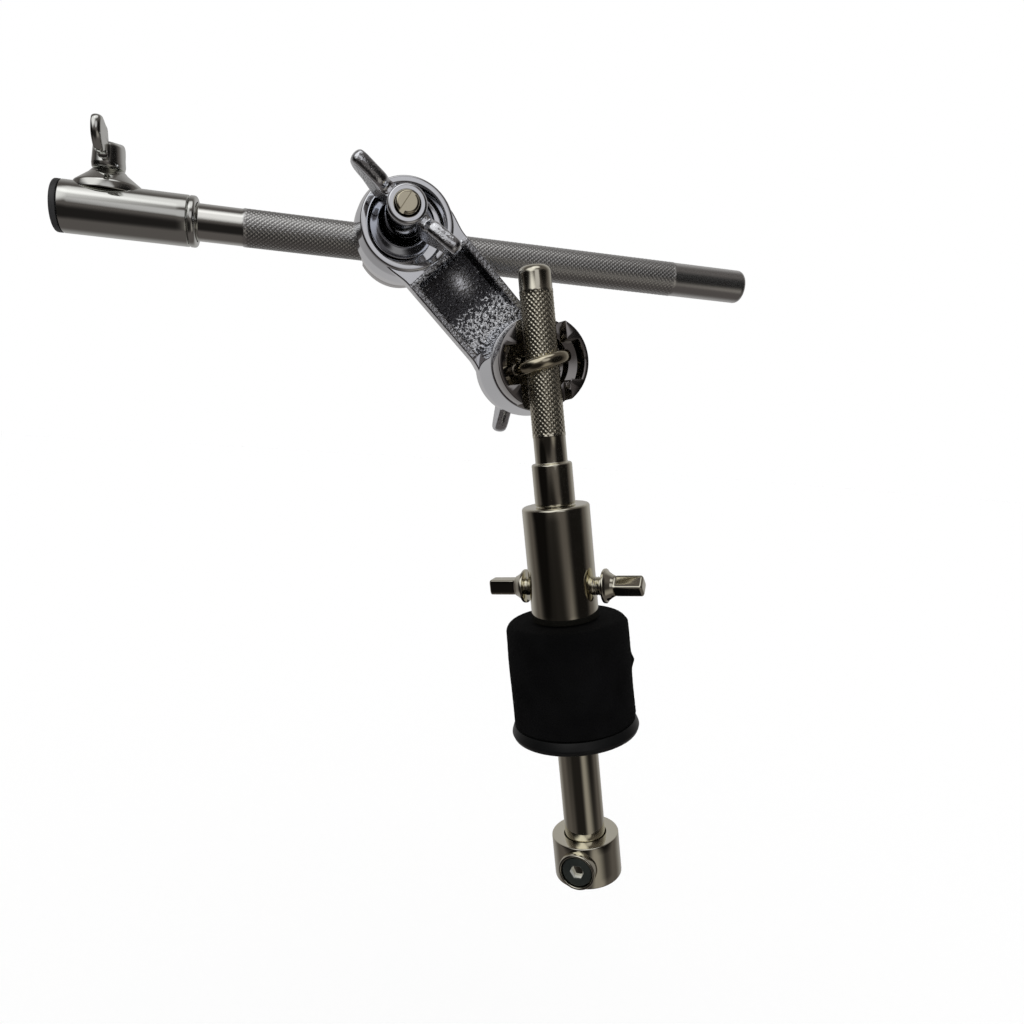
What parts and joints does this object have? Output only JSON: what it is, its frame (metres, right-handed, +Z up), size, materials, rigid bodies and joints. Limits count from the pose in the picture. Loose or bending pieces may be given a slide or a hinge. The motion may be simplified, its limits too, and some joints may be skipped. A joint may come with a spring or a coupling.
{
  "type": "cymbal boom arm end with double clamp and hanging holder",
  "caption": "Boom tube and knurled rod carrying a double-ended wing-nut clamp, whose lower end holds a hanging rod with a keyed sleeve, felt roll and screwed foot collar.",
  "frame": {"origin": "middle of the plugged left end face of the boom tube", "axes": "+X out along the boom, +Y away from the player, +Z up"},
  "size_m": [0.2446, 0.0898, 0.236],
  "materials": {
    "chrome": "bright plated die-casting",
    "nickel": "warm bright nickel plate",
    "steel": "satin plated steel with a fine knurl",
    "felt": "black napped felt",
    "rubber": "dark moulded rubber",
    "nylon": "black nylon",
    "oxide": "black oxide screw"
  },
  "bodies": {
    "tube": {"boom_tube": "chrome", "tube_end_plug": "nylon", "tube_bushing": "chrome"},
    "tube_bolt": {"tube_wing_bolt": "chrome"},
    "boom": {"boom_rod": "steel"},
    "upper_holder": {"upper_saddle": "chrome", "upper_eye_bolt": "nickel", "upper_washer": "nickel"},
    "clamp": {"clamp_body": "chrome", "lower_washer": "nickel"},
    "upper_nut": {"upper_wing_nut": "chrome"},
    "lower_holder": {"lower_saddle": "chrome", "lower_eye_bolt": "nickel"},
    "lower_nut": {"lower_wing_nut": "chrome"},
    "hanger": {"holder_rod": "nickel", "key_sleeve": "nickel"},
    "key_right": {"key_screw_right": "nickel"},
    "key_left": {"key_screw_left": "nickel"},
    "lower_stem": {"lower_rod": "nickel"},
    "pad": {"core_sleeve": "nylon", "felt_roll": "felt", "lip_cup": "rubber"},
    "foot": {"foot_collar": "nickel"},
    "foot_screw": {"set_screw": "oxide"}
  },
  "joints": [
    {"name": "boom_reach", "type": "slide", "parent": "tube", "child": "boom", "axis": [1, 0, 0], "range_m": [-0.006, 0.02]},
    {"name": "tube_bolt_turn", "type": "hinge", "parent": "tube", "child": "tube_bolt", "pos_m": [0.0155, 0, 0.013], "axis": [0, 0, 1], "range_deg": [-90, 90]},
    {"name": "clamp_swing", "type": "hinge", "parent": "boom", "child": "upper_holder", "pos_m": [0.11, 0, 0], "axis": [1, 0, 0], "range_deg": [-50, 60]},
    {"name": "arm_angle", "type": "hinge", "parent": "upper_holder", "child": "clamp", "pos_m": [0.11, -0.0266, 0], "axis": [0, 1, 0], "range_deg": [-12, 60]},
    {"name": "upper_nut_turn", "type": "hinge", "parent": "upper_holder", "child": "upper_nut", "pos_m": [0.10844, -0.03996, 0.00066], "axis": [-0.0389, -0.9991, 0.0166], "range_deg": [-180, 180]},
    {"name": "holder_tilt", "type": "hinge", "parent": "clamp", "child": "lower_holder", "pos_m": [0.15201, -0.05405, -0.041], "axis": [0, 1, 0], "range_deg": [-20, 60]},
    {"name": "lower_nut_turn", "type": "hinge", "parent": "clamp", "child": "lower_nut", "pos_m": [0.15201, -0.0144, -0.041], "axis": [0, 1, 0], "range_deg": [-180, 180]},
    {"name": "holder_height", "type": "slide", "parent": "lower_holder", "child": "hanger", "axis": [0.1675, 0, -0.9859], "range_m": [-0.008, 0.012]},
    {"name": "key_right_turn", "type": "hinge", "parent": "hanger", "child": "key_right", "pos_m": [0.16392, -0.0521, -0.11109], "axis": [0.7976, -0.5878, 0.1355], "range_deg": [-180, 180]},
    {"name": "key_left_turn", "type": "hinge", "parent": "hanger", "child": "key_left", "pos_m": [0.16392, -0.0521, -0.11109], "axis": [-0.7976, 0.5878, -0.1355], "range_deg": [-180, 180]},
    {"name": "stem_drop", "type": "slide", "parent": "hanger", "child": "lower_stem", "axis": [0.1675, 0, -0.9859], "range_m": [0, 0.012]},
    {"name": "pad_spin", "type": "hinge", "parent": "lower_stem", "child": "pad", "pos_m": [0.16876, -0.0521, -0.13958], "axis": [0.1675, 0, -0.9859], "continuous": true},
    {"name": "collar_turn", "type": "hinge", "parent": "lower_stem", "child": "foot", "pos_m": [0.17931, -0.0521, -0.2017], "axis": [0.1675, 0, -0.9859], "range_deg": [-180, 180]},
    {"name": "set_screw_turn", "type": "hinge", "parent": "foot", "child": "foot_screw", "pos_m": [0.17379, -0.06039, -0.20263], "axis": [-0.5513, -0.829, -0.0936], "range_deg": [-180, 180]}
  ]
}
